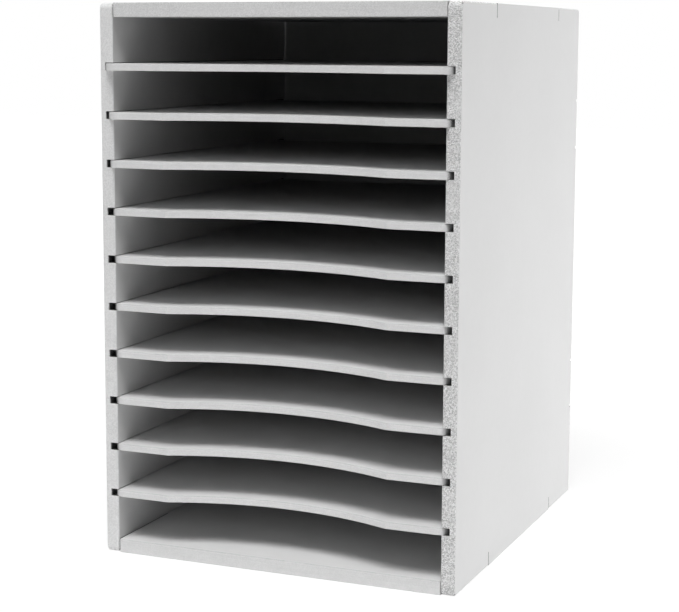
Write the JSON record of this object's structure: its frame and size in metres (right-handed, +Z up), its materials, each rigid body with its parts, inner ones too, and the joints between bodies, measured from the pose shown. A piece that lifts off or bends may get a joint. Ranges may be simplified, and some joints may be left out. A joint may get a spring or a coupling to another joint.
{
  "type": "vertical desktop sorter",
  "caption": "Free-standing desktop paper sorter: a tabbed foam-board carcass with removable shelves, each with a shallow finger recess, sliding in grooves.",
  "frame": {"origin": "on the underside of the bottom board, at the middle of the carcass's width and depth", "axes": "+Z up, +X to the right when facing the open front, which looks along -Y"},
  "size_m": [0.27, 0.307, 0.4],
  "materials": {
    "panel_board": "smooth matt skin, cut edges with a fine open grain",
    "back_sheet": "smooth matt skin",
    "shelf_board": "smooth matt skin, cut edges with a fine grain"
  },
  "bodies": {
    "carcass": {"left_side_panel": "panel_board", "right_side_panel": "panel_board", "top_board": "panel_board", "bottom_board": "panel_board", "back_panel": "back_sheet"},
    "shelf_01": {"shelf_01": "shelf_board"},
    "shelf_02": {"shelf_02": "shelf_board"},
    "shelf_03": {"shelf_03": "shelf_board"},
    "shelf_04": {"shelf_04": "shelf_board"},
    "shelf_05": {"shelf_05": "shelf_board"},
    "shelf_06": {"shelf_06": "shelf_board"},
    "shelf_07": {"shelf_07": "shelf_board"},
    "shelf_08": {"shelf_08": "shelf_board"},
    "shelf_09": {"shelf_09": "shelf_board"},
    "shelf_10": {"shelf_10": "shelf_board"}
  },
  "joints": [
    {"name": "shelf_01_slide", "type": "slide", "parent": "carcass", "child": "shelf_01", "axis": [0, -1, 0], "range_m": [-0.008, 0.3]},
    {"name": "shelf_02_slide", "type": "slide", "parent": "carcass", "child": "shelf_02", "axis": [0, -1, 0], "range_m": [-0.005, 0.3]},
    {"name": "shelf_03_slide", "type": "slide", "parent": "carcass", "child": "shelf_03", "axis": [0, -1, 0], "range_m": [-0.004, 0.3]},
    {"name": "shelf_04_slide", "type": "slide", "parent": "carcass", "child": "shelf_04", "axis": [0, -1, 0], "range_m": [-0.001, 0.3]},
    {"name": "shelf_05_slide", "type": "slide", "parent": "carcass", "child": "shelf_05", "axis": [0, -1, 0], "range_m": [0, 0.3]},
    {"name": "shelf_06_slide", "type": "slide", "parent": "carcass", "child": "shelf_06", "axis": [0, -1, 0], "range_m": [0, 0.3]},
    {"name": "shelf_07_slide", "type": "slide", "parent": "carcass", "child": "shelf_07", "axis": [0, -1, 0], "range_m": [0, 0.3]},
    {"name": "shelf_08_slide", "type": "slide", "parent": "carcass", "child": "shelf_08", "axis": [0, -1, 0], "range_m": [0, 0.3]},
    {"name": "shelf_09_slide", "type": "slide", "parent": "carcass", "child": "shelf_09", "axis": [0, -1, 0], "range_m": [0, 0.3]},
    {"name": "shelf_10_slide", "type": "slide", "parent": "carcass", "child": "shelf_10", "axis": [0, -1, 0], "range_m": [-0.001, 0.3]}
  ]
}
